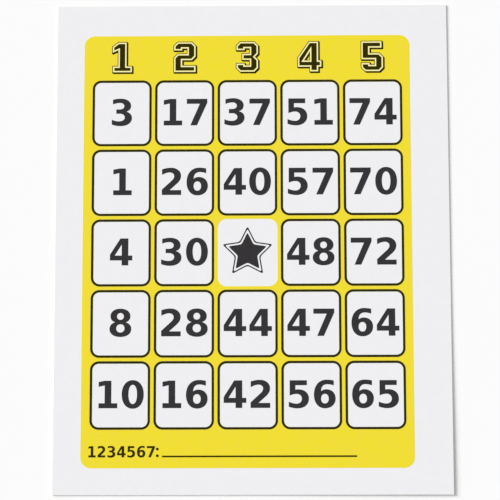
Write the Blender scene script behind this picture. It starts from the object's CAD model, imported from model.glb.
"""Looks of a printed bingo card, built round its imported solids.

The board's plies, the yellow panel, the cell frames and the write-in line come from the frame.
This script dresses them and adds what is printed on the card as thin films of ink.
"""
import logging
import math
from abc import ABC, abstractmethod
from dataclasses import dataclass, field
from enum import Enum
from typing import Iterable, NamedTuple, Optional, Protocol, Sequence

import bmesh
import bpy
from mathutils import Euler, Matrix, Vector
from mathutils.geometry import interpolate_bezier


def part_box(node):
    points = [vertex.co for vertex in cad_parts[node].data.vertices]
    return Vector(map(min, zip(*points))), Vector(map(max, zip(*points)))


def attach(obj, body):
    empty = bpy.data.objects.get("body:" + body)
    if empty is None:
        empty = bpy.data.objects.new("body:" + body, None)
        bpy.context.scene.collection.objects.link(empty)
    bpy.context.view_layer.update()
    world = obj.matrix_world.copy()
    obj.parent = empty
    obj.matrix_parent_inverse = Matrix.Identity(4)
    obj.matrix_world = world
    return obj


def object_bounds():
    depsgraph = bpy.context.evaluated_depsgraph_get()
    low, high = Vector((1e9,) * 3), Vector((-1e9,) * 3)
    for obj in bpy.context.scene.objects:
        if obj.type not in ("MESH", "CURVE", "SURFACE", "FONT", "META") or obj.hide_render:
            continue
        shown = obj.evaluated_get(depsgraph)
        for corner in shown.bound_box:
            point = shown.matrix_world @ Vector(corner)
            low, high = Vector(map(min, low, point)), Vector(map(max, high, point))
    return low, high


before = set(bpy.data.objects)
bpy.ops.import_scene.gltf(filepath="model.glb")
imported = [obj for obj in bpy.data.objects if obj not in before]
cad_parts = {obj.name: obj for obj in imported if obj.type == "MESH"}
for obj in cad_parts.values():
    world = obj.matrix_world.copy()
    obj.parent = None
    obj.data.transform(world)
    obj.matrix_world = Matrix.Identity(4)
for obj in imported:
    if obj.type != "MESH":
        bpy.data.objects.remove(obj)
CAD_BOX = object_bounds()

LOG = logging.getLogger("bingo_card")
MM = 0.001
BODY = "root"
SAME_PLACE = 1e-6
Rgb = tuple[int, int, int]
Socket = bpy.types.NodeSocket


# Numbers on the card, row by row, with the free space in the middle
CARD_NUMBERS: tuple[tuple[Optional[int], ...], ...] = (
    (3, 17, 37, 51, 74),
    (1, 26, 40, 57, 70),
    (4, 30, None, 48, 72),
    (8, 28, 44, 47, 64),
    (10, 16, 42, 56, 65),
)


class Slot(Enum):
    """Material slots of the record that the printed films take."""

    DARK = "ink_dark"
    NUMBER = "ink_number"
    CREAM = "ink_cream"


def linear(shade: Rgb) -> tuple[float, float, float, float]:
    """Turns a display colour into the linear colour that a shader takes.

    Args:
        shade: Red, green and blue, each from 0 to 255.

    Returns:
        The linear red, green and blue, and an alpha of one.
    """
    def channel(value: int) -> float:
        """Undoes the display curve of one channel."""
        share = value / 255
        return share / 12.92 if share <= 0.04045 else ((share + 0.055) / 1.055) ** 2.4

    red, green, blue = (channel(value) for value in shade)
    return red, green, blue, 1.0


class Graph:
    """Adds and links the nodes of one shader tree.

    The Mix node has sockets for every kind of data, so its colour sockets go by number.
    """

    MIX_SHARE = 0
    MIX_FIRST = 6
    MIX_SECOND = 7
    MIX_RESULT = 2

    def __init__(self, tree: bpy.types.NodeTree) -> None:
        """Starts from an empty tree.

        Args:
            tree: The node tree to fill.
        """
        self.tree = tree
        self.tree.nodes.clear()

    def add(self, kind: str, **settings: object) -> bpy.types.Node:
        """Adds one node.

        Args:
            kind: Blender's name of the node type.
            settings: Attributes to set on the node.

        Returns:
            The new node.
        """
        node = self.tree.nodes.new(kind)
        for name, value in settings.items():
            setattr(node, name, value)
        return node

    def feed(self, socket: Socket, value: object) -> None:
        """Links an output to a socket, or sets the socket's own value.

        Args:
            socket: The input socket.
            value: An output socket, a number, a vector or a colour.
        """
        if isinstance(value, Socket):
            self.tree.links.new(value, socket)
        else:
            socket.default_value = value

    def math(self, operation: str, *values: object) -> Socket:
        """Combines two or three numbers.

        Args:
            operation: Blender's name of the operation.
            values: The numbers or outputs, in the operation's order.

        Returns:
            The result's socket.
        """
        node = self.add("ShaderNodeMath", operation=operation)
        for socket, value in zip(node.inputs, values):
            self.feed(socket, value)
        return node.outputs[0]

    def spread(self, value: Socket, low: float, high: float) -> Socket:
        """Stretches the part of a value between two limits to the span from zero to one.

        Args:
            value: The number's socket.
            low: Value that becomes zero.
            high: Value that becomes one.

        Returns:
            The result's socket.
        """
        node = self.add("ShaderNodeMapRange", clamp=True, interpolation_type="SMOOTHSTEP")
        self.feed(node.inputs["Value"], value)
        node.inputs["From Min"].default_value = low
        node.inputs["From Max"].default_value = high
        return node.outputs["Result"]

    def mix(self, share: object, first: object, second: object) -> Socket:
        """Mixes two colours.

        Args:
            share: Share of the second colour.
            first: The first colour or output.
            second: The second colour or output.

        Returns:
            The mixed colour's socket.
        """
        node = self.add("ShaderNodeMix", data_type="RGBA")
        self.feed(node.inputs[self.MIX_SHARE], share)
        self.feed(node.inputs[self.MIX_FIRST], first)
        self.feed(node.inputs[self.MIX_SECOND], second)
        return node.outputs[self.MIX_RESULT]

    def tint(self, colour: object, mask: Socket, share: float, shade: Rgb) -> Socket:
        """Tints a colour where a mask lies.

        Args:
            colour: The colour or output below.
            mask: Where the tint lies, from zero to one.
            share: Strength of the full tint.
            shade: Display colour of the tint.

        Returns:
            The tinted colour's socket.
        """
        return self.mix(self.math("MULTIPLY", mask, share), colour, linear(shade))

    def noise(self, vector: Socket, detail: float, roughness: float) -> Socket:
        """Adds a noise of unit scale.

        Args:
            vector: Coordinates, already scaled to the size of the noise.
            detail: Octaves of finer noise.
            roughness: Share that each finer octave keeps.

        Returns:
            The noise's value from zero to one.
        """
        node = self.add("ShaderNodeTexNoise")
        self.feed(node.inputs["Vector"], vector)
        node.inputs["Scale"].default_value = 1.0
        node.inputs["Detail"].default_value = detail
        node.inputs["Roughness"].default_value = roughness
        return node.outputs["Fac"]

    def scaled(self, vector: Socket, scale: object) -> Socket:
        """Multiplies coordinates by one number.

        Args:
            vector: The coordinates.
            scale: The number or its socket.

        Returns:
            The scaled coordinates.
        """
        node = self.add("ShaderNodeVectorMath", operation="SCALE")
        self.feed(node.inputs[0], vector)
        self.feed(node.inputs["Scale"], scale)
        return node.outputs[0]

    def turned(self, vector: Socket, degrees: float, stretch: float) -> Socket:
        """Turns coordinates in the plane of the sheet and stretches the pattern along one direction.

        Args:
            vector: The coordinates.
            degrees: Turn about the upright axis.
            stretch: How many times longer than wide the pattern becomes.

        Returns:
            The turned and stretched coordinates.
        """
        turn = self.add("ShaderNodeMapping")
        self.feed(turn.inputs["Vector"], vector)
        turn.inputs["Rotation"].default_value = (0.0, 0.0, math.radians(degrees))
        squeeze = self.add("ShaderNodeMapping")
        self.feed(squeeze.inputs["Vector"], turn.outputs[0])
        squeeze.inputs["Scale"].default_value = (1.0 / stretch, 1.0, 1.0)
        return squeeze.outputs[0]

    def ragged(self, vector: Socket, waves: float, reach: float) -> Socket:
        """Shifts coordinates unevenly, so that round shapes on them turn ragged.

        Args:
            vector: The coordinates.
            waves: Waves of the shift to one unit.
            reach: Span of the shift.

        Returns:
            The shifted coordinates.
        """
        noise = self.add("ShaderNodeTexNoise")
        self.feed(noise.inputs["Vector"], vector)
        noise.inputs["Scale"].default_value = waves
        shift = self.add("ShaderNodeVectorMath", operation="MULTIPLY_ADD")
        self.feed(shift.inputs[0], noise.outputs["Color"])
        shift.inputs[1].default_value = (reach, reach, reach)
        self.feed(shift.inputs[2], vector)
        return shift.outputs[0]


class SharedEffect:
    """A shader effect that several finishes use, built once as a node group."""

    def __init__(self, name: str, scales: Sequence[str], outputs: Sequence[str]) -> None:
        """Makes the empty group with its sockets.

        Args:
            name: Name of the group.
            scales: Names of the numbers that it takes beside the coordinates.
            outputs: Names of the values that it puts out.
        """
        self.group = bpy.data.node_groups.new(name, "ShaderNodeTree")
        sockets = self.group.interface
        sockets.new_socket(name="Vector", in_out="INPUT", socket_type="NodeSocketVector")
        for socket in scales:
            sockets.new_socket(name=socket, in_out="INPUT", socket_type="NodeSocketFloat")
        for socket in outputs:
            sockets.new_socket(name=socket, in_out="OUTPUT", socket_type="NodeSocketFloat")
        self.graph = Graph(self.group)
        self.source = self.graph.add("NodeGroupInput").outputs
        self.result = self.graph.add("NodeGroupOutput").inputs

    def place(self, graph: Graph, **values: object) -> bpy.types.bpy_prop_collection:
        """Puts the group into a material.

        Args:
            graph: The material's graph.
            values: Values or outputs for the group's inputs, with underscores for spaces.

        Returns:
            The group node's outputs.
        """
        node = graph.add("ShaderNodeGroup", node_tree=self.group)
        for name, value in values.items():
            graph.feed(node.inputs[name.replace("_", " ")], value)
        return node.outputs


class FibreEffect(SharedEffect):
    """Crossing pulp fibres and the slow clouds of an uneven sheet."""

    TURNS_DEG = (12.0, 74.0, -41.0)
    STRETCH = 9.0
    CURL_WAVES = 0.06
    CURL_REACH = 12.0
    FIBRE_SPAN = (0.5, 0.78)
    CLOUD_SHARE = 0.02
    CLOUD_SPAN = (0.3, 0.7)

    def __init__(self) -> None:
        """Builds the group."""
        super().__init__("pulp_fibre", ("Scale",), ("Fibre", "Cloud"))
        graph = self.graph
        fine = graph.scaled(self.source["Vector"], self.source["Scale"])
        curled = graph.ragged(fine, self.CURL_WAVES, self.CURL_REACH)
        strands = [
            graph.noise(graph.turned(curled, turn, self.STRETCH), detail=2.0, roughness=0.5)
            for turn in self.TURNS_DEG
        ]
        crossed = graph.math("MAXIMUM", graph.math("MAXIMUM", strands[0], strands[1]), strands[2])
        graph.feed(self.result["Fibre"], graph.spread(crossed, *self.FIBRE_SPAN))
        cloud = graph.noise(graph.scaled(fine, self.CLOUD_SHARE), detail=4.0, roughness=0.55)
        graph.feed(self.result["Cloud"], graph.spread(cloud, *self.CLOUD_SPAN))


class MottleEffect(SharedEffect):
    """Uneven lay of ink: slow patches and a fine grain."""

    DETAILS = {"Patch": 4.0, "Grain": 3.0}
    SPAN = (0.3, 0.7)

    def __init__(self) -> None:
        """Builds the group."""
        super().__init__("ink_mottle", ("Patch Scale", "Grain Scale"), ("Patch", "Grain"))
        graph = self.graph
        for name, detail in self.DETAILS.items():
            scaled = graph.scaled(self.source["Vector"], self.source[f"{name} Scale"])
            value = graph.noise(scaled, detail=detail, roughness=0.6)
            graph.feed(self.result[name], graph.spread(value, *self.SPAN))


class FleckEffect(SharedEffect):
    """Sparse ragged flecks, such as bark in pulp or pinholes in a film of ink."""

    KEPT_SHARE = 0.12
    TURN_DEG = 28.0
    STRETCH = 1.5
    RAG_WAVES = 9.0
    RAG_REACH = 0.22

    def __init__(self) -> None:
        """Builds the group."""
        super().__init__("small_flecks", ("Scale", "Reach"), ("Fleck",))
        graph = self.graph
        spaced = graph.scaled(self.source["Vector"], self.source["Scale"])
        ragged = graph.ragged(spaced, self.RAG_WAVES, self.RAG_REACH)
        cells = graph.add("ShaderNodeTexVoronoi")
        graph.feed(cells.inputs["Vector"], graph.turned(ragged, self.TURN_DEG, self.STRETCH))
        cells.inputs["Scale"].default_value = 1.0
        near = graph.math("LESS_THAN", cells.outputs["Distance"], self.source["Reach"])
        split = graph.add("ShaderNodeSeparateColor")
        graph.feed(split.inputs[0], cells.outputs["Color"])
        kept = graph.math("LESS_THAN", split.outputs[0], self.KEPT_SHARE)
        graph.feed(self.result["Fleck"], graph.math("MULTIPLY", near, kept))


@dataclass(frozen=True)
class Effects:
    """The shared effects that the finishes draw on."""

    fibre: FibreEffect
    mottle: MottleEffect
    fleck: FleckEffect


class Surface(NamedTuple):
    """What varies over a finished surface."""

    colour: Socket
    roughness: Socket
    height: Socket


@dataclass(frozen=True, kw_only=True)
class Finish(ABC):
    """A matt finish with a fine relief."""

    name: str
    shade: Rgb
    roughness: float
    roughness_swing: float
    relief_h: float
    specular: float

    @abstractmethod
    def surface(self, graph: Graph, place: Socket, effects: Effects) -> Surface:
        """Lays out what varies over the surface.

        Args:
            graph: The material's graph.
            place: Coordinates of the object, in metres.
            effects: The shared effects.

        Returns:
            The colour, roughness and height.
        """

    def material(self, effects: Effects) -> bpy.types.Material:
        """Makes the material.

        Args:
            effects: The shared effects.

        Returns:
            The new material.
        """
        material = bpy.data.materials.new(self.name)
        material.use_nodes = True
        graph = Graph(material.node_tree)
        place = graph.add("ShaderNodeTexCoord").outputs["Object"]
        surface = self.surface(graph, place, effects)
        relief = graph.add("ShaderNodeBump")
        relief.inputs["Distance"].default_value = self.relief_h
        graph.feed(relief.inputs["Height"], surface.height)
        shader = graph.add("ShaderNodeBsdfPrincipled")
        shader.inputs["Specular IOR Level"].default_value = self.specular
        graph.feed(shader.inputs["Base Color"], surface.colour)
        graph.feed(shader.inputs["Roughness"], surface.roughness)
        graph.feed(shader.inputs["Normal"], relief.outputs["Normal"])
        output = graph.add("ShaderNodeOutputMaterial")
        graph.feed(output.inputs["Surface"], shader.outputs[0])
        return material


@dataclass(frozen=True, kw_only=True)
class PaperFinish(Finish):
    """Finish of one ply of the board: pulp fibres, slow clouds and a few flecks."""

    fibre_shade: Rgb
    fibre_w: float
    fibre_share: float
    cloud_share: float
    fleck_shade: Rgb
    fleck_share: float
    fleck_pitch: float = 1.6 * MM
    fleck_reach: float = 0.07
    roughness_swing: float = 0.06
    specular: float = 0.13

    def surface(self, graph: Graph, place: Socket, effects: Effects) -> Surface:
        """Lays out what varies over the ply.

        Args:
            graph: The material's graph.
            place: Coordinates of the object, in metres.
            effects: The shared effects.

        Returns:
            The colour, roughness and height.
        """
        pulp = effects.fibre.place(graph, Vector=place, Scale=1.0 / self.fibre_w)
        flecks = effects.fleck.place(
            graph, Vector=place, Scale=1.0 / self.fleck_pitch, Reach=self.fleck_reach
        )
        colour = graph.tint(linear(self.shade), pulp["Cloud"], self.cloud_share, self.fibre_shade)
        colour = graph.tint(colour, pulp["Fibre"], self.fibre_share, self.fibre_shade)
        colour = graph.tint(colour, flecks["Fleck"], self.fleck_share, self.fleck_shade)
        roughness = graph.math("MULTIPLY_ADD", pulp["Cloud"], self.roughness_swing, self.roughness)
        return Surface(colour, roughness, pulp["Fibre"])


@dataclass(frozen=True, kw_only=True)
class InkFinish(Finish):
    """Finish of one printed film: thinner patches, a fine grain and a few pinholes."""

    thin_shade: Rgb
    patch_w: float = 1.2 * MM
    patch_share: float = 0.4
    grain_w: float = 0.08 * MM
    grain_share: float = 0.3
    pinhole_shade: Rgb = (238, 236, 226)
    pinhole_share: float = 0.1
    pinhole_pitch: float = 0.5 * MM
    pinhole_reach: float = 0.06
    roughness: float = 0.58
    roughness_swing: float = 0.08
    relief_h: float = 0.001 * MM
    specular: float = 0.07

    def surface(self, graph: Graph, place: Socket, effects: Effects) -> Surface:
        """Lays out what varies over the film.

        Args:
            graph: The material's graph.
            place: Coordinates of the object, in metres.
            effects: The shared effects.

        Returns:
            The colour, roughness and height.
        """
        lay = effects.mottle.place(
            graph, Vector=place, Patch_Scale=1.0 / self.patch_w, Grain_Scale=1.0 / self.grain_w
        )
        holes = effects.fleck.place(
            graph, Vector=place, Scale=1.0 / self.pinhole_pitch, Reach=self.pinhole_reach
        )
        grain = graph.math("MULTIPLY", lay["Grain"], self.grain_share)
        thin = graph.math("MULTIPLY_ADD", lay["Patch"], self.patch_share, grain)
        colour = graph.mix(thin, linear(self.shade), linear(self.thin_shade))
        colour = graph.tint(colour, holes["Fleck"], self.pinhole_share, self.pinhole_shade)
        roughness = graph.math("MULTIPLY_ADD", lay["Patch"], self.roughness_swing, self.roughness)
        return Surface(colour, roughness, lay["Grain"])


INKS: dict[Slot, InkFinish] = {
    Slot.DARK: InkFinish(name="dark_ink", shade=(42, 38, 0), thin_shade=(57, 52, 6), specular=0.02),
    Slot.NUMBER: InkFinish(name="number_ink", shade=(46, 44, 46), thin_shade=(56, 54, 55)),
    Slot.CREAM: InkFinish(
        name="cream_ink", shade=(250, 241, 176), thin_shade=(248, 238, 160), pinhole_share=0.2
    ),
}


# Points on each curved stretch of an outline, with its start
ARC_STEPS = 13


class Move(Protocol):
    """One stretch of an outline."""

    def trace(self, start: Vector) -> list[Vector]:
        """Gives the points of the stretch after its start."""


@dataclass(frozen=True)
class Line:
    """Straight stretch to a point."""

    x: float
    y: float

    def trace(self, start: Vector) -> list[Vector]:
        """Gives the end point alone."""
        return [Vector((self.x, self.y))]


@dataclass(frozen=True)
class Across:
    """Quarter arc that leaves along x and arrives along y."""

    x: float
    y: float
    fullness: float = 0.6

    def trace(self, start: Vector) -> list[Vector]:
        """Gives the points of the arc.

        Args:
            start: Where the arc starts.

        Returns:
            The points after the start.
        """
        end = Vector((self.x, self.y))
        leave = Vector((start.x + self.fullness * (end.x - start.x), start.y))
        arrive = Vector((end.x, end.y + self.fullness * (start.y - end.y)))
        return interpolate_bezier(start, leave, arrive, end, ARC_STEPS)[1:]


@dataclass(frozen=True)
class Upright:
    """Quarter arc that leaves along y and arrives along x."""

    x: float
    y: float
    fullness: float = 0.6

    def trace(self, start: Vector) -> list[Vector]:
        """Gives the points of the arc.

        Args:
            start: Where the arc starts.

        Returns:
            The points after the start.
        """
        end = Vector((self.x, self.y))
        leave = Vector((start.x, start.y + self.fullness * (end.y - start.y)))
        arrive = Vector((end.x + self.fullness * (start.x - end.x), end.y))
        return interpolate_bezier(start, leave, arrive, end, ARC_STEPS)[1:]


@dataclass(frozen=True)
class Bend:
    """Free curve to a point, pulled by two handles."""

    leave: tuple[float, float]
    arrive: tuple[float, float]
    x: float
    y: float

    def trace(self, start: Vector) -> list[Vector]:
        """Gives the points of the curve after its start."""
        end = Vector((self.x, self.y))
        return interpolate_bezier(start, Vector(self.leave), Vector(self.arrive), end, ARC_STEPS)[1:]


@dataclass(frozen=True)
class Outline:
    """Closed outline, drawn from a start point by a few moves."""

    start: tuple[float, float]
    moves: tuple[Move, ...]

    def points(self) -> list[Vector]:
        """Follows the moves once round.

        Returns:
            The points, without repeating the first.
        """
        traced = [Vector(self.start)]
        for move in self.moves:
            traced.extend(move.trace(traced[-1]))
        if (traced[-1] - traced[0]).length < SAME_PLACE:
            traced.pop()
        return traced


def oval(x: float, y: float, w: float, h: float, fullness: float = 0.6) -> Outline:
    """Draws an oval from four quarter arcs.

    Args:
        x: Middle across.
        y: Middle upright.
        w: Width.
        h: Height.
        fullness: How square the arcs are.

    Returns:
        The outline.
    """
    low, high = y - h / 2, y + h / 2
    return Outline(
        (x, low),
        (
            Across(x + w / 2, y, fullness),
            Upright(x, high, fullness),
            Across(x - w / 2, y, fullness),
            Upright(x, low, fullness),
        ),
    )


def corners(*points: tuple[float, float]) -> Outline:
    """Draws an outline of straight lines through the given corners."""
    return Outline(points[0], tuple(Line(x, y) for x, y in points[1:]))


# Bold numerals on a grid of 100 units to the height of a flat-topped numeral
GRID_H = 100.0
DIGIT_PITCH = 95.5
DIGITS: dict[str, tuple[Outline, ...]] = {
    "0": (oval(47.5, 50, 81.5, 104), oval(47.5, 50, 32, 70, 0.62)),
    "1": (
        corners(
            (16.5, 0), (86, 0), (86, 18), (63.5, 18), (63.5, 100), (39.5, 100),
            (16.5, 95.5), (16.5, 78), (39, 83), (39, 18), (16.5, 18),
        ),
    ),
    "2": (
        Outline(
            (10.5, 0),
            (
                Line(83, 0), Line(83, 18), Line(39.5, 18), Line(64.5, 40),
                Bend((75.5, 49.5), (82.5, 58.5), 82.5, 71.5), Upright(45.5, 102, 0.58),
                Bend((34, 102), (22.5, 100), 11, 96), Line(11, 75.5),
                Bend((21, 81), (31, 84.5), 40, 84.5), Across(57, 71, 0.56),
                Bend((57, 64), (53, 58.5), 47, 53), Line(10.5, 20),
            ),
        ),
    ),
    "3": (
        Outline(
            (9, 4),
            (
                Bend((20, 0), (31, -2), 42, -2), Across(85, 28.5),
                Bend((85, 41), (77, 49.5), 63, 52.5), Bend((75.5, 56), (81.5, 63.5), 81.5, 74.5),
                Upright(43, 102), Bend((33, 102), (23, 100.5), 13, 98), Line(13, 80.5),
                Bend((22, 84), (31, 86), 39.5, 86), Across(56, 73.5, 0.58), Upright(38, 61),
                Line(26, 61), Line(26, 45), Line(38.5, 45), Across(58, 30.5), Upright(37, 16, 0.58),
                Bend((27, 16), (17.5, 18), 9, 22.5),
            ),
        ),
    ),
    "4": (
        corners(
            (50.5, 0), (75, 0), (75, 18.5), (90, 18.5), (90, 36.5), (75, 36.5), (75, 100),
            (45.5, 100), (6.5, 40), (6.5, 18.5), (50.5, 18.5),
        ),
        corners((50.5, 36.5), (50.5, 77.5), (24, 36.5)),
    ),
    "5": (
        Outline(
            (10.5, 4),
            (
                Bend((21, 0), (32, -2), 42.5, -2), Across(85, 33), Upright(46, 67),
                Bend((41.5, 67), (38, 66.5), 35, 65.5), Line(35, 82), Line(77.5, 82),
                Line(77.5, 100), Line(14, 100), Line(14, 44.5),
                Bend((23, 48.5), (31.5, 50.5), 39.5, 50.5), Across(59, 33, 0.58),
                Upright(39.5, 15, 0.58), Bend((30, 15), (20, 18), 10.5, 22),
            ),
        ),
    ),
    "6": (
        Outline(
            (81.5, 99),
            (
                Bend((72, 101), (63.5, 102), 55, 102), Across(8, 47.5), Upright(48.5, -2),
                Across(88, 34), Upright(53.5, 67), Bend((46, 67), (39.5, 64.5), 34.5, 60),
                Bend((34.5, 76), (42.5, 85.5), 57.5, 85.5), Bend((65, 85.5), (73, 84), 81.5, 81),
            ),
        ),
        oval(48.5, 33, 28.5, 35),
    ),
    "7": (
        corners((21.5, 0), (46.5, 0), (85.5, 85.5), (85.5, 100), (8, 100), (8, 81.5), (57.5, 81.5)),
    ),
    "8": (
        Outline(
            (47.5, -2),
            (
                Across(88, 27), Bend((88, 39.5), (80.5, 48), 67, 52),
                Bend((78.5, 55.5), (84.5, 63), 84.5, 74), Upright(47.5, 102),
                Across(10.5, 74), Bend((10.5, 63), (16.5, 55.5), 28, 52),
                Bend((14.5, 48), (7, 39.5), 7, 27), Upright(47.5, -2),
            ),
        ),
        oval(47.5, 73.5, 25.5, 25, 0.58),
        oval(47.5, 29.5, 31, 30.5, 0.58),
    ),
}

# Block numerals on the same grid, drawn along the outer edge of their contour
BLOCK_W = 72.0
BLOCKS: dict[str, tuple[Outline, ...]] = {
    "1": (
        corners(
            (4, 0), (68, 0), (68, 23), (51, 23), (51, 100), (23, 100),
            (3, 85), (3, 62), (21, 70), (21, 23), (4, 23),
        ),
    ),
    "2": (
        corners(
            (0, 0), (72, 0), (72, 24.5), (30, 24.5), (30, 38), (59, 38), (72, 51), (72, 87), (59, 100),
            (13, 100), (0, 87), (0, 69.5), (30, 69.5), (30, 75.5), (42, 75.5), (42, 62), (13, 62), (0, 49),
        ),
    ),
    "3": (
        corners(
            (13, 0), (59, 0), (72, 13), (72, 41), (63, 50), (72, 59), (72, 87), (59, 100),
            (13, 100), (0, 87), (0, 69.5), (30, 69.5), (30, 75.5), (42, 75.5), (42, 62), (18, 62),
            (18, 38), (42, 38), (42, 24.5), (30, 24.5), (30, 30.5), (0, 30.5), (0, 13),
        ),
    ),
    "4": (
        corners(
            (35, 0), (65, 0), (65, 15), (75, 15), (75, 39.5), (65, 39.5), (65, 100), (33, 100),
            (-3, 47), (-3, 15), (35, 15),
        ),
        corners((35, 39.5), (35, 60), (22, 39.5)),
    ),
    "5": (
        corners(
            (13, 0), (59, 0), (72, 13), (72, 49), (59, 62), (30, 62), (30, 75.5), (68, 75.5), (68, 100),
            (0, 100), (0, 38), (42, 38), (42, 24.5), (30, 24.5), (30, 30.5), (0, 30.5), (0, 13),
        ),
    ),
}


class Press:
    """Lays down printed films: flat outlines, filled and given the thickness of ink."""

    def __init__(self, inks: dict[Slot, bpy.types.Material]) -> None:
        """Keeps the inks.

        Args:
            inks: Material of each slot.
        """
        self.inks = inks

    @staticmethod
    def fill(
        mesh: bmesh.types.BMesh, outlines: Iterable[Outline], place: Matrix
    ) -> list[bmesh.types.BMFace]:
        """Fills outlines, with inner ones as holes, and puts them on the card.

        Args:
            mesh: The mesh that takes the faces.
            outlines: Outer and inner outlines of one sign.
            place: Scales and moves the drawing grid onto the card.

        Returns:
            The new faces, turned upwards.
        """
        edges: list[bmesh.types.BMEdge] = []
        verts: list[bmesh.types.BMVert] = []
        for outline in outlines:
            ring = [mesh.verts.new(point.to_3d()) for point in outline.points()]
            edges.extend(mesh.edges.new(pair) for pair in zip(ring, ring[1:] + ring[:1]))
            verts.extend(ring)
        filled = bmesh.ops.triangle_fill(mesh, use_beauty=True, use_dissolve=False, edges=edges)
        faces = [item for item in filled["geom"] if isinstance(item, bmesh.types.BMFace)]
        for face in faces:
            face.normal_update()
        bmesh.ops.reverse_faces(mesh, faces=[face for face in faces if face.normal.z < 0])
        bmesh.ops.transform(mesh, matrix=place, verts=verts)
        return faces

    @classmethod
    def fill_row(
        cls, mesh: bmesh.types.BMesh, digits: str, start: Vector, pitch: float, height: float
    ) -> None:
        """Fills a row of bold numerals.

        Args:
            mesh: The mesh that takes the faces.
            digits: The numerals, from left to right.
            start: Lower left corner of the row.
            pitch: Step from one numeral to the next.
            height: Height of a flat-topped numeral.
        """
        grid = Matrix.Diagonal((pitch / DIGIT_PITCH, height / GRID_H, 1.0, 1.0))
        for index, digit in enumerate(digits):
            step = Vector((index * pitch, 0.0, 0.0))
            cls.fill(mesh, DIGITS[digit], Matrix.Translation(start + step) @ grid)

    @staticmethod
    def thicken(mesh: bmesh.types.BMesh, rise: Vector) -> None:
        """Gives every face of a flat mesh a thickness.

        Args:
            mesh: The flat mesh.
            rise: The way from the film's lower to its upper face.
        """
        raised = bmesh.ops.extrude_face_region(mesh, geom=mesh.faces[:])["geom"]
        upper = [item for item in raised if isinstance(item, bmesh.types.BMVert)]
        bmesh.ops.translate(mesh, vec=rise, verts=upper)
        bmesh.ops.recalc_face_normals(mesh, faces=mesh.faces[:])

    def lay(self, name: str, mesh: bmesh.types.BMesh, slot: Slot) -> None:
        """Makes a piece of a finished mesh and fixes it to the card.

        Args:
            name: Name of the piece.
            mesh: The finished mesh, freed here.
            slot: The ink's slot.
        """
        data = bpy.data.meshes.new(name)
        mesh.to_mesh(data)
        mesh.free()
        data.materials.append(self.inks[slot])
        piece = bpy.data.objects.new(name, data)
        bpy.context.scene.collection.objects.link(piece)
        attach(piece, BODY)
        LOG.info("%s: %d faces", name, len(data.polygons))


@dataclass
class Layout:
    """Places on the card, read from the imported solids."""

    panel_low: Vector = field(init=False)
    panel_high: Vector = field(init=False)
    line_low: Vector = field(init=False)
    face_z: float = field(init=False)

    def __post_init__(self) -> None:
        """Reads the boxes of the panel, the line and the coating."""
        self.panel_low, self.panel_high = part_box("yellow_panel")
        self.line_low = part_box("write_in_line")[0]
        self.face_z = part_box("face_coating")[1].z

    @property
    def ink_t(self) -> float:
        """Thickness of one printed film."""
        return self.panel_high.z - self.panel_low.z

    @staticmethod
    def frame_box(row: int, column: int) -> tuple[Vector, Vector]:
        """Gives the box of one cell frame, counted from one."""
        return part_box(f"cell_frame_r{row}_c{column}")

    def cell_middle(self, row: int, column: int) -> Vector:
        """Finds the middle of a cell from frames in the first row and the first column.

        Args:
            row: Row, counted from one at the head.
            column: Column, counted from one at the left.

        Returns:
            The middle, on the face of the coating.
        """
        left, right = (corner.x for corner in self.frame_box(1, column))
        low, high = (corner.y for corner in self.frame_box(row, 1))
        return Vector(((left + right) / 2, (low + high) / 2, self.face_z))

    def head_middle(self, column: int) -> Vector:
        """Finds the middle of the head strip over a column, on the face of the panel."""
        top = self.frame_box(1, column)[1].y
        return Vector((self.cell_middle(1, column).x, (top + self.panel_high.y) / 2, self.panel_high.z))


@dataclass
class Board:
    """The card's plies, the panel, the frames and the line, which come as solids."""

    effects: Effects
    liner: PaperFinish = PaperFinish(
        name="uncoated_liner", shade=(233, 231, 225), roughness=0.75, relief_h=0.006 * MM,
        fibre_shade=(214, 210, 200), fibre_w=0.035 * MM, fibre_share=0.5, cloud_share=0.3,
        fleck_shade=(150, 136, 112), fleck_share=0.5,
    )
    core: PaperFinish = PaperFinish(
        name="pulp_core", shade=(214, 206, 190), roughness=0.85, relief_h=0.012 * MM,
        fibre_shade=(178, 166, 145), fibre_w=0.03 * MM, fibre_share=0.6, cloud_share=0.4,
        fleck_shade=(120, 104, 82), fleck_share=0.6,
    )
    coating: PaperFinish = PaperFinish(
        name="matt_coating", shade=(239, 239, 241), roughness=0.64, relief_h=0.0012 * MM,
        fibre_shade=(232, 232, 234), fibre_w=0.05 * MM, fibre_share=0.14, cloud_share=0.2,
        fleck_shade=(222, 221, 219), fleck_share=0.25,
    )
    yellow: InkFinish = InkFinish(
        name="yellow_ink", shade=(241, 222, 43), thin_shade=(239, 218, 70), patch_w=2.4 * MM,
        patch_share=0.35, grain_w=0.09 * MM, grain_share=0.25, pinhole_share=0.25,
        roughness=0.6, relief_h=0.0012 * MM,
    )

    def dress(self, dark: bpy.types.Material) -> None:
        """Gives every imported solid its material.

        Args:
            dark: Material of the dark ink.
        """
        liner = self.liner.material(self.effects)
        named = {
            "back_liner": liner,
            "core_ply": self.core.material(self.effects),
            "face_liner": liner,
            "face_coating": self.coating.material(self.effects),
            "yellow_panel": self.yellow.material(self.effects),
        }
        for node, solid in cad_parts.items():
            solid.material_slots[0].material = named.get(node, dark)
            LOG.info("%s: %s", node, solid.material_slots[0].material.name)


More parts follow.
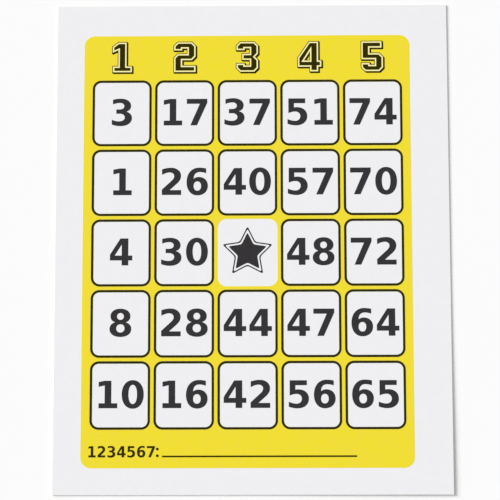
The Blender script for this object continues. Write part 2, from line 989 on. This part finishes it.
@dataclass
class NumberPrint:
    """The numbers in the cells."""

    layout: Layout
    press: Press
    digit_h: float = 8.26 * MM
    pitch: float = 7.76 * MM
    lift: float = 0.3 * MM

    def build(self) -> None:
        """Prints every number as a piece of its own."""
        for row, numbers in enumerate(CARD_NUMBERS, start=1):
            for column, number in enumerate(numbers, start=1):
                if number is not None:
                    self.build_number(row, column, str(number))

    def build_number(self, row: int, column: int, digits: str) -> None:
        """Prints one number in the middle of its cell.

        Args:
            row: The cell's row.
            column: The cell's column.
            digits: The number's digits.
        """
        low = Vector((-len(digits) * self.pitch / 2, self.lift - self.digit_h / 2, 0.0))
        start = self.layout.cell_middle(row, column) + low
        mesh = bmesh.new()
        Press.fill_row(mesh, digits, start, self.pitch, self.digit_h)
        Press.thicken(mesh, Vector((0.0, 0.0, self.layout.ink_t)))
        self.press.lay(f"number_r{row}_c{column}", mesh, Slot.NUMBER)


@dataclass
class ColumnHeads:
    """Block numerals over the columns, with a cream inline, a thin contour and a dropped shade."""

    layout: Layout
    press: Press
    head_h: float = 9.8 * MM
    lift: float = 0.3 * MM
    contour_w: float = 0.22 * MM
    inline_w: float = 0.43 * MM
    drop: float = 0.34 * MM
    shade_share: float = 1 / 3

    def build(self) -> None:
        """Prints the head of every column."""
        unit = self.head_h / GRID_H
        corner = Vector((-BLOCK_W / 2 * unit, self.lift - self.head_h / 2, 0.0))
        for column, outlines in enumerate(BLOCKS.values(), start=1):
            place = Matrix.Translation(self.layout.head_middle(column) + corner) @ Matrix.Scale(unit, 4)
            self.build_shade(f"head_{column}", outlines, place)
            self.build_bands(f"head_{column}", outlines, place)

    @property
    def shade_t(self) -> float:
        """Thickness of the shade, which the other films of a head lie on."""
        return self.layout.ink_t * self.shade_share

    def build_shade(self, name: str, outlines: tuple[Outline, ...], place: Matrix) -> None:
        """Prints the shade, which slants from under the sign to its drop.

        Args:
            name: Name of the head.
            outlines: Outlines of the sign.
            place: Puts the drawing grid on the panel.
        """
        mesh = bmesh.new()
        Press.fill(mesh, outlines, Matrix.Translation((self.drop, -self.drop, 0.0)) @ place)
        Press.thicken(mesh, Vector((-self.drop, self.drop, self.shade_t)))
        self.press.lay(f"{name}_shade", mesh, Slot.DARK)

    def build_bands(self, name: str, outlines: tuple[Outline, ...], place: Matrix) -> None:
        """Prints the core, the contour and the inline between them as three films.

        Args:
            name: Name of the head.
            outlines: Outlines of the sign.
            place: Puts the drawing grid on the panel.
        """
        bands = bmesh.new()
        band = bands.faces.layers.int.new("band")
        left = Press.fill(bands, outlines, Matrix.Translation((0.0, 0.0, self.shade_t)) @ place)
        for index, width in enumerate((self.contour_w, self.inline_w), start=1):
            ring = bmesh.ops.inset_region(
                bands, faces=left, thickness=width, use_boundary=True, use_even_offset=True
            )
            for face in ring["faces"]:
                face[band] = index
        films = (("core", Slot.DARK), ("contour", Slot.DARK), ("inline", Slot.CREAM))
        for index, (part, slot) in enumerate(films):
            film = bands.copy()
            layer = film.faces.layers.int["band"]
            others = [face for face in film.faces if face[layer] != index]
            bmesh.ops.delete(film, geom=others, context="FACES")
            Press.thicken(film, Vector((0.0, 0.0, self.layout.ink_t - self.shade_t)))
            self.press.lay(f"{name}_{part}", film, slot)
        bands.free()


@dataclass
class FreeSpaceStar:
    """Five-pointed star in the free middle space, with a thin line round it.

    The star is drawn in millimetres.
    """

    layout: Layout
    press: Press
    points: int = 5
    tip_r: float = 8.1
    notch_share: float = 0.5
    rounding: float = 0.9
    rounding_pull: float = 0.7
    line_share: float = 0.9
    core_share: float = 0.76

    def outline(self, share: float) -> Outline:
        """Draws the star with its tips and notches a little round.

        Args:
            share: Size, as a share of the full star.

        Returns:
            The outline in millimetres.
        """
        count = 2 * self.points
        radii = (self.tip_r * share, self.tip_r * self.notch_share * share)
        spots = [
            Matrix.Rotation(i * math.tau / count, 2) @ Vector((0.0, radii[i % 2])) for i in range(count)
        ]
        moves: list[Move] = []
        for index, spot in enumerate(spots):
            ahead = spots[(index + 1) % count]
            before = spot + (spots[index - 1] - spot).normalized() * self.rounding * share
            after = spot + (ahead - spot).normalized() * self.rounding * share
            leave = tuple(before.lerp(spot, self.rounding_pull))
            arrive = tuple(after.lerp(spot, self.rounding_pull))
            moves.append(Line(before.x, before.y))
            moves.append(Bend(leave, arrive, after.x, after.y))
        return Outline((moves[0].x, moves[0].y), tuple(moves[1:]))

    def build(self) -> None:
        """Prints the star and the line round it as two films."""
        row = (len(CARD_NUMBERS) + 1) // 2
        column = (len(CARD_NUMBERS[0]) + 1) // 2
        place = Matrix.Translation(self.layout.cell_middle(row, column)) @ Matrix.Scale(MM, 4)
        films = {
            "free_star_line": (self.outline(1.0), self.outline(self.line_share)),
            "free_star_core": (self.outline(self.core_share),),
        }
        for name, outlines in films.items():
            mesh = bmesh.new()
            Press.fill(mesh, outlines, place)
            Press.thicken(mesh, Vector((0.0, 0.0, self.layout.ink_t)))
            self.press.lay(name, mesh, Slot.NUMBER)


@dataclass
class FootLabel:
    """Row of small numerals and two dots before the write-in line."""

    layout: Layout
    press: Press
    digits: str = "1234567"
    digit_h: float = 3.35 * MM
    inset: float = 1.9 * MM
    line_gap: float = 1.0 * MM
    dot_r: float = 0.42 * MM
    dot_rises: tuple[float, float] = (0.45 * MM, 2.45 * MM)
    dot_sides: int = 32

    def build(self) -> None:
        """Prints the numerals and the dots as one film."""
        panel_face = self.layout.panel_high.z
        start = Vector((self.layout.panel_low.x + self.inset, self.layout.line_low.y, panel_face))
        dot_x = self.layout.line_low.x - self.line_gap - self.dot_r
        pitch = (dot_x - self.dot_r - start.x) / len(self.digits)
        mesh = bmesh.new()
        Press.fill_row(mesh, self.digits, start, pitch, self.digit_h)
        for rise in self.dot_rises:
            bmesh.ops.create_circle(
                mesh, cap_ends=True, segments=self.dot_sides, radius=self.dot_r,
                matrix=Matrix.Translation((dot_x, start.y + rise, panel_face)),
            )
        Press.thicken(mesh, Vector((0.0, 0.0, self.layout.ink_t)))
        self.press.lay("foot_label", mesh, Slot.DARK)


@dataclass
class Studio:
    """Floor, light and camera.

    The floor has a shallow hollow, so that the card's lower right corner stands a little clear of it.
    """

    # Camera, with its lens given as a focal length in pixels of the picture
    aim: Vector = field(default_factory=lambda: Vector((-0.69 * MM, -1.27 * MM, 0.5 * MM)))
    distance: float = 541.1 * MM
    tilt_deg: float = 7.57
    lean_deg: float = 0.75
    roll_deg: float = -0.2
    focal_px: float = 1780.6
    picture_px: float = 500.0
    sensor_w: float = 36.0
    near_share: float = 0.01

    # Floor
    floor_r: float = 3000.0 * MM
    floor_sides: int = 64
    floor_gap: float = 0.01 * MM
    hollow_depth: float = 0.38 * MM
    hollow_r: float = 70.0 * MM
    hollow_rings: int = 12
    floor_shade: Rgb = (251, 251, 251)
    floor_roughness: float = 0.9

    # Light
    key_power: float = 3.2
    key_angle_deg: float = 35.0
    key_from: Vector = field(default_factory=lambda: Vector((-1.45, 0.6, 1.0)))
    sky_power: float = 0.46

    def build(self) -> None:
        """Makes the floor, the world, the key light and the camera."""
        self.build_floor()
        self.build_world()
        self.build_key()
        self.build_camera()

    def floor_profile(self) -> list[Vector]:
        """Draws the floor's profile, a hair below the card's back beyond the hollow.

        Returns:
            Points from the middle of the hollow out to the floor's edge.
        """
        points: list[Vector] = []
        for ring in range(self.hollow_rings + 1):
            share = ring / self.hollow_rings
            fall = self.hollow_depth * (1.0 + math.cos(math.pi * share)) / 2
            points.append(Vector((self.hollow_r * share, 0.0, -self.floor_gap - fall)))
        points.append(Vector((self.floor_r, 0.0, -self.floor_gap)))
        return points

    def build_floor(self) -> None:
        """Makes the pale floor by turning its profile about the card's lower right corner."""
        low, high = CAD_BOX
        corner = Vector((high[0], low[1], 0.0))
        mesh = bmesh.new()
        ends = [mesh.verts.new(corner + point) for point in self.floor_profile()]
        edges = [mesh.edges.new(pair) for pair in zip(ends, ends[1:])]
        bmesh.ops.spin(
            mesh, geom=ends + edges, cent=corner, axis=(0.0, 0.0, 1.0), angle=math.tau,
            steps=self.floor_sides, use_merge=True,
        )
        bmesh.ops.remove_doubles(mesh, verts=mesh.verts[:], dist=SAME_PLACE)
        for face in mesh.faces:
            face.smooth = True
            face.normal_update()
        bmesh.ops.reverse_faces(mesh, faces=[face for face in mesh.faces if face.normal.z < 0])
        data = bpy.data.meshes.new("floor")
        mesh.to_mesh(data)
        mesh.free()
        data.materials.append(self.floor_material())
        floor = bpy.data.objects.new("floor", data)
        bpy.context.scene.collection.objects.link(floor)

    def floor_material(self) -> bpy.types.Material:
        """Makes the floor's plain material, which has no gloss.

        Returns:
            The new material.
        """
        material = bpy.data.materials.new("pale_floor")
        material.use_nodes = True
        shader = material.node_tree.nodes["Principled BSDF"]
        shader.inputs["Base Color"].default_value = linear(self.floor_shade)
        shader.inputs["Roughness"].default_value = self.floor_roughness
        shader.inputs["Specular IOR Level"].default_value = 0.0
        return material

    def build_world(self) -> None:
        """Makes a plain sky that lights the card softly and shows white to the eye and in reflections."""
        world = bpy.data.worlds.new("studio")
        bpy.context.scene.world = world
        world.use_nodes = True
        graph = Graph(world.node_tree)
        path = graph.add("ShaderNodeLightPath").outputs
        seen = graph.math("MAXIMUM", path["Is Camera Ray"], path["Is Glossy Ray"])
        mix = graph.add("ShaderNodeMixShader")
        graph.feed(mix.inputs[0], graph.math("MAXIMUM", seen, path["Is Transmission Ray"]))
        for socket, power in zip(mix.inputs[1:], (self.sky_power, 1.0)):
            sky = graph.add("ShaderNodeBackground")
            sky.inputs["Color"].default_value = (1.0, 1.0, 1.0, 1.0)
            sky.inputs["Strength"].default_value = power
            graph.feed(socket, sky.outputs[0])
        output = graph.add("ShaderNodeOutputWorld")
        graph.feed(output.inputs["Surface"], mix.outputs[0])

    def build_key(self) -> None:
        """Makes the key light, to the left of the card's head."""
        lamp = bpy.data.lights.new("key", "SUN")
        lamp.energy = self.key_power
        lamp.angle = math.radians(self.key_angle_deg)
        key = bpy.data.objects.new("key", lamp)
        key.rotation_mode = "QUATERNION"
        key.rotation_quaternion = self.key_from.to_track_quat("Z", "Y")
        bpy.context.scene.collection.objects.link(key)

    def build_camera(self) -> None:
        """Makes the camera, almost straight above the card and leaning towards its foot."""
        lens = bpy.data.cameras.new("camera")
        lens.sensor_width = self.sensor_w
        lens.lens = self.sensor_w * self.focal_px / self.picture_px
        lens.clip_start = self.distance * self.near_share
        turns = (self.tilt_deg, self.lean_deg, self.roll_deg)
        turn = Euler([math.radians(degrees) for degrees in turns], "ZYX")
        camera = bpy.data.objects.new("camera", lens)
        camera.rotation_mode = "ZYX"
        camera.rotation_euler = turn
        camera.location = self.aim + turn.to_matrix() @ Vector((0.0, 0.0, self.distance))
        bpy.context.scene.collection.objects.link(camera)
        bpy.context.scene.camera = camera


def main() -> None:
    """Builds the studio, dresses the board and prints the signs."""
    logging.basicConfig(level=logging.INFO, format="%(message)s")
    bpy.context.scene.view_settings.view_transform = "Standard"
    effects = Effects(FibreEffect(), MottleEffect(), FleckEffect())
    inks = {slot: ink.material(effects) for slot, ink in INKS.items()}
    layout = Layout()
    press = Press(inks)
    Studio().build()
    Board(effects).dress(inks[Slot.DARK])
    NumberPrint(layout, press).build()
    ColumnHeads(layout, press).build()
    FreeSpaceStar(layout, press).build()
    FootLabel(layout, press).build()


if __name__ == "__main__":
    main()
